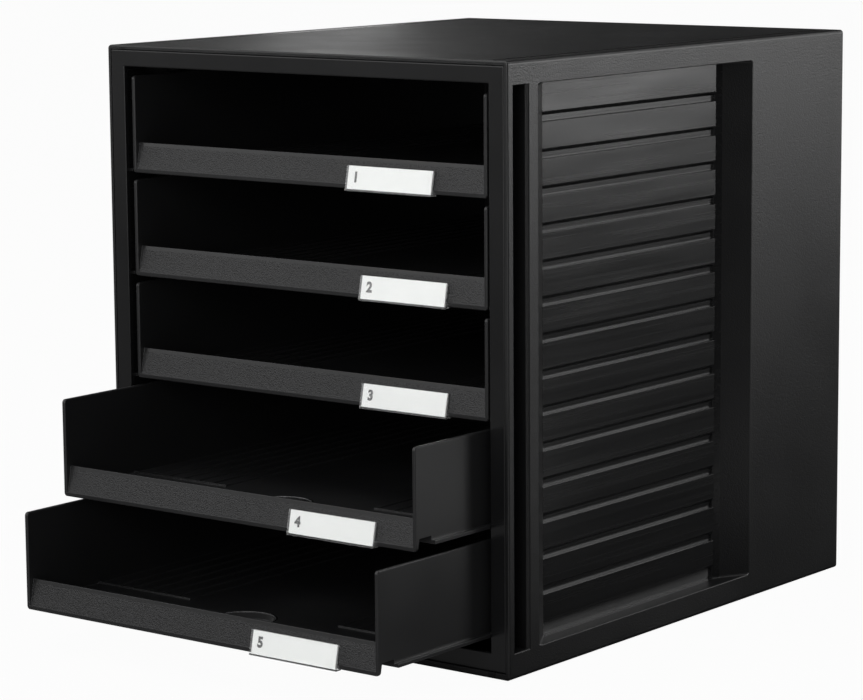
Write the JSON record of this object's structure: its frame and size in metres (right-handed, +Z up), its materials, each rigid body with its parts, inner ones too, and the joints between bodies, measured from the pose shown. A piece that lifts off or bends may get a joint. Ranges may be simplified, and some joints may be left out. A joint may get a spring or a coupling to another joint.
{
  "type": "desktop drawer organizer",
  "caption": "Desktop organizer with open-fronted letter drawers that slide out on side rails, a slatted housing and clip-on label holders that slide along the lips.",
  "frame": {"origin": "centre of the housing's footprint, on the surface that the feet stand on", "axes": "+Z up, +Y from the drawer fronts to the back, +X to the right as seen from the front; drawers pull out along -Y"},
  "size_m": [0.275, 0.4212, 0.3218],
  "materials": {
    "housing": "satin",
    "frame": "polished",
    "drawer": "satin, grained on the lip",
    "label_holder": "clear",
    "label_card": "matt card",
    "foot": "matt"
  },
  "bodies": {
    "housing": {"housing_shell": "housing", "front_frame": "frame", "foot_front_left": "foot", "foot_front_right": "foot", "foot_rear_left": "foot", "foot_rear_right": "foot"},
    "drawer_1_body": {"drawer_1": "drawer"},
    "label_1_body": {"label_holder_1": "label_holder", "label_card_1": "label_card"},
    "drawer_2_body": {"drawer_2": "drawer"},
    "label_2_body": {"label_holder_2": "label_holder", "label_card_2": "label_card"},
    "drawer_3_body": {"drawer_3": "drawer"},
    "label_3_body": {"label_holder_3": "label_holder", "label_card_3": "label_card"},
    "drawer_4_body": {"drawer_4": "drawer"},
    "label_4_body": {"label_holder_4": "label_holder", "label_card_4": "label_card"},
    "drawer_5_body": {"drawer_5": "drawer"},
    "label_5_body": {"label_holder_5": "label_holder", "label_card_5": "label_card"}
  },
  "joints": [
    {"name": "drawer_1_slide", "type": "slide", "parent": "housing", "child": "drawer_1_body", "axis": [0, -1, 0], "range_m": [0, 0.215]},
    {"name": "drawer_2_slide", "type": "slide", "parent": "housing", "child": "drawer_2_body", "axis": [0, -1, 0], "range_m": [0, 0.215]},
    {"name": "drawer_3_slide", "type": "slide", "parent": "housing", "child": "drawer_3_body", "axis": [0, -1, 0], "range_m": [0, 0.215]},
    {"name": "drawer_4_slide", "type": "slide", "parent": "housing", "child": "drawer_4_body", "axis": [0, -1, 0], "range_m": [-0.0608, 0.1542]},
    {"name": "drawer_5_slide", "type": "slide", "parent": "housing", "child": "drawer_5_body", "axis": [0, -1, 0], "range_m": [-0.0916, 0.1234]},
    {"name": "label_1_slide", "type": "slide", "parent": "drawer_1_body", "child": "label_1_body", "axis": [1, 0, 0], "range_m": [-0.1503, 0.0317]},
    {"name": "label_2_slide", "type": "slide", "parent": "drawer_2_body", "child": "label_2_body", "axis": [1, 0, 0], "range_m": [-0.1586, 0.0234]},
    {"name": "label_3_slide", "type": "slide", "parent": "drawer_3_body", "child": "label_3_body", "axis": [1, 0, 0], "range_m": [-0.1586, 0.0234]},
    {"name": "label_4_slide", "type": "slide", "parent": "drawer_4_body", "child": "label_4_body", "axis": [1, 0, 0], "range_m": [-0.1586, 0.0234]},
    {"name": "label_5_slide", "type": "slide", "parent": "drawer_5_body", "child": "label_5_body", "axis": [1, 0, 0], "range_m": [-0.1586, 0.0234]}
  ]
}
